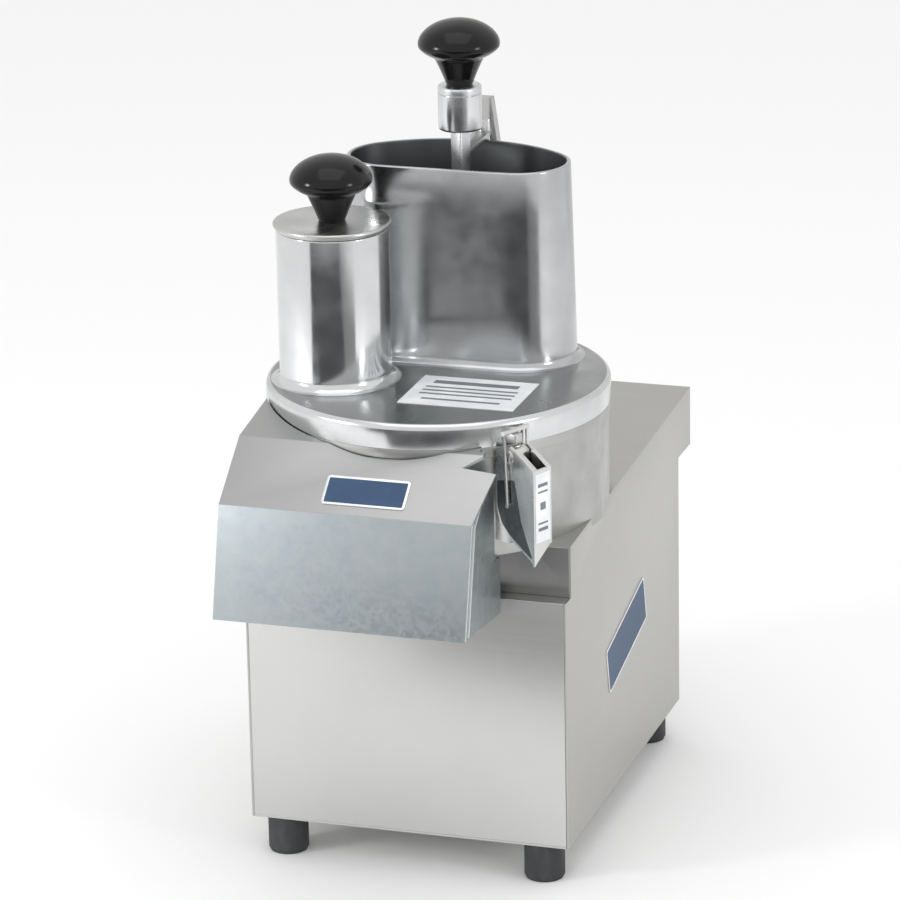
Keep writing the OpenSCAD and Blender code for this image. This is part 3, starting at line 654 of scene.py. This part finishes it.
def latch():
    softened("latch_bracket", LATCH_STEEL, 0.3 * MM)
    softened("latch_pin", LATCH_STEEL, 0.2 * MM)
    softened("latch_lever", LATCH_STEEL, 0.3 * MM, also=[(1.5 * MM, 12, 60, None)])
    softened("latch_bail", LATCH_STEEL, 0)
    softened("latch_sticker", LABEL, 0)


def latch_point(out, across, height):
    """A place on the latch in metres, from millimetres outward, across and above the box."""
    return (BOWL_X + (out * cos(LATCH_TURN) - across * sin(LATCH_TURN)) * MM,
            BOWL_Y + (out * sin(LATCH_TURN) + across * cos(LATCH_TURN)) * MM,
            height * MM + BOX_BASE)


def latch_plate(name, outline, across, thick, corner, body, finish):
    """Thin plate on the cheek's outer face, its outline in (outward, height) millimetres."""
    bm = bmesh.new()
    flat = bm.faces.new([bm.verts.new(latch_point(a, across, z)) for a, z in outline])
    if corner:
        bmesh.ops.bevel(
            bm, geom=list(flat.verts), offset=corner, offset_type="OFFSET", affect="VERTICES",
            segments=4, profile=0.5, material=-1)
    away = Vector(latch_point(0, -1, 0)) - Vector(latch_point(0, 0, 0))
    thicken(bm, bm.faces[:], away.normalized() * thick)
    return make_piece(bm, name, body, finish)


def latch_details():
    """Dark panel on the cheek, painted as the dark reflection in its pressed recess; a screw slot as
    a thin dark plate, painted shade; and plain bars on the sticker.
    """
    panel = [(102, 255.5), (116.6, 258.5), (121.6, 232), (126, 220), (131.2, 208),
             (113, 220), (105.5, 227.5), (102, 238)]
    latch_plate("latch_lever_painted_reflection", panel, CHEEK_FACE, 0.25 * MM, 1.6 * MM, "latch_handle",
                LATCH_PAINTED_DARK)
    slot = [(110.2, 269.9), (111.0, 269.5), (113.8, 276.1), (113.0, 276.5)]
    latch_plate("latch_pin_slot_shade", slot, PIN_HEAD_FACE, 0.12 * MM, 0, "base", LATCH_PAINTED_DARK)
    bm = bmesh.new()
    bars = [(257, 2.2, 9), (252.5, 1.2, 9), (243, 5, 5), (231.5, 1.2, 9), (227.5, 2.2, 9)]
    for height, tall, wide in bars:
        left, right = STICKER_MIDDLE - wide / 2, STICKER_MIDDLE + wide / 2
        low, high = height - tall / 2, height + tall / 2
        corners = [(left, low), (right, low), (right, high), (left, high)]
        bm.faces.new([bm.verts.new(latch_point(STICKER_FACE, t, z)) for t, z in corners])
    away = Vector(latch_point(1, 0, 0)) - Vector(latch_point(0, 0, 0))
    thicken(bm, bm.faces[:], away.normalized() * 0.1 * MM)
    make_piece(bm, "latch_sticker_bars", "latch_handle", LABEL_INK)


def switches():
    soften_all([
        ("switch_box", BLACK, 1.5), ("start_button", GREEN, 0.8), ("stop_button", RED, 0.8)])


# ---- studio ----

def softbox(name, azimuth, elevation, distance, size, power):
    """An area light aimed at the object; azimuth 0 is in front, positive to the right."""
    light = bpy.data.lights.new(name, "AREA")
    light.shape = "RECTANGLE"
    light.size, light.size_y = size
    light.energy = power
    lamp = bpy.data.objects.new(name, light)
    aim = Vector((0, 0, 0.28))
    way = Vector((sin(radians(azimuth)) * cos(radians(elevation)),
                  -cos(radians(azimuth)) * cos(radians(elevation)), sin(radians(elevation))))
    lamp.location = aim + way * distance
    lamp.rotation_euler = (-way).to_track_quat("-Z", "Y").to_euler()
    bpy.context.scene.collection.objects.link(lamp)


def flat_sheet(name, corners, material):
    bm = bmesh.new()
    bm.faces.new([bm.verts.new(c) for c in corners])
    mesh = bpy.data.meshes.new(name)
    bm.to_mesh(mesh)
    bm.free()
    mesh.materials.append(material)
    sheet = bpy.data.objects.new(name, mesh)
    bpy.context.scene.collection.objects.link(sheet)
    return sheet


def reflection_card(name, corners, material):
    """A card that only reflections see, so polished metal gets its darker bands."""
    card = flat_sheet(name, corners, material)
    card.visible_camera = False
    card.visible_diffuse = False
    card.visible_shadow = False
    card.visible_transmission = False


def matt_finish(name, colour):
    """Dead-matt material with no shine of its own."""
    material, tree, shader = new_finish(name, colour, 0, 0.9)
    shader.inputs["Specular IOR Level"].default_value = 0.0
    return material, shader


def studio():
    paper = matt_finish("studio_paper", (0.95, 0.95, 0.95))[0]
    flat_sheet("studio_floor", [(-9, -9, 0), (9, -9, 0), (9, 12, 0), (-9, 12, 0)], paper)
    dark = matt_finish("studio_black_card", (0.075, 0.077, 0.079))[0]
    grey = matt_finish("studio_grey_card", (0.24, 0.24, 0.24))[0]
    up = 0.002
    near = [(-0.13, -0.62, up), (0.30, -0.62, up), (0.92, -1.30, up), (-0.375, -1.30, up)]
    far = [(-0.75, -1.30, up), (0.92, -1.30, up), (2.2, -4.0, up), (-2.0, -4.0, up)]
    side = [(0.30, -0.62, up), (0.62, -0.50, up), (1.9, -1.15, up), (2.2, -4.0, up),
            (0.92, -1.30, up)]
    behind = [(-1.8, 1.3, 0.0), (1.3, 1.3, 0.0), (1.3, 1.3, 1.5), (-1.8, 1.3, 1.5)]
    reflection_card("card_near", near, dark)
    reflection_card("card_far", far, dark)
    reflection_card("card_side", side, grey)
    backdrop, shader = matt_finish("studio_back_card", (0, 0, 0))
    shader.inputs["Emission Color"].default_value = (0.80, 0.80, 0.79, 1)
    shader.inputs["Emission Strength"].default_value = 1.0
    reflection_card("card_back", behind, backdrop)
    world = bpy.data.worlds.new("studio_air")
    bpy.context.scene.world = world
    world.use_nodes = True
    air = world.node_tree.nodes["Background"]
    air.inputs["Color"].default_value = (1, 1, 1, 1)
    air.inputs["Strength"].default_value = 0.93
    softbox("key_left", -49, 14, 1.9, (0.30, 0.42), 8)
    softbox("fill_right", 71, 14, 1.9, (0.35, 0.5), 4)
    softbox("top", 10, 80, 2.0, (1.6, 1.6), 6)
    bpy.context.scene.view_settings.view_transform = "Standard"


def camera():
    """Long lens, turned to the right of the front and looking down, with a slight roll."""
    turn, rise, roll = radians(18.22), radians(18.32), radians(-1.21)
    target = Vector((-17.93, 26.0, 246.26)) * MM
    back = Vector((sin(turn) * cos(rise), -cos(turn) * cos(rise), sin(rise)))
    right = Vector((cos(turn), sin(turn), 0))
    up = back.cross(right)
    side = right * cos(roll) + up * sin(roll)
    top = up * cos(roll) - right * sin(roll)
    lens = bpy.data.cameras.new("studio_camera")
    lens.lens = 189.15
    lens.sensor_width = 36
    lens.shift_x = 0.0213
    lens.shift_y = -0.0011
    lens.clip_end = 50
    eye = bpy.data.objects.new("studio_camera", lens)
    eye.matrix_world = Matrix((
        (side.x, top.x, back.x, target.x + back.x * 3.19275),
        (side.y, top.y, back.y, target.y + back.y * 3.19275),
        (side.z, top.z, back.z, target.z + back.z * 3.19275),
        (0, 0, 0, 1)))
    bpy.context.scene.collection.objects.link(eye)
    bpy.context.scene.camera = eye


camera()
studio()
base_box()
drive_parts()
bowl_and_cutter()
lid()
small_tube()
big_hopper()
label_bars()
push_knob("small_push_knob", "small_pusher")
push_knob("large_push_knob", "large_pusher")
round_pusher()
handle_boss()
large_pusher_parts()
hood()
hood_hem()
badge("hood_badge")
badge("side_badge")
latch()
latch_details()
switches()
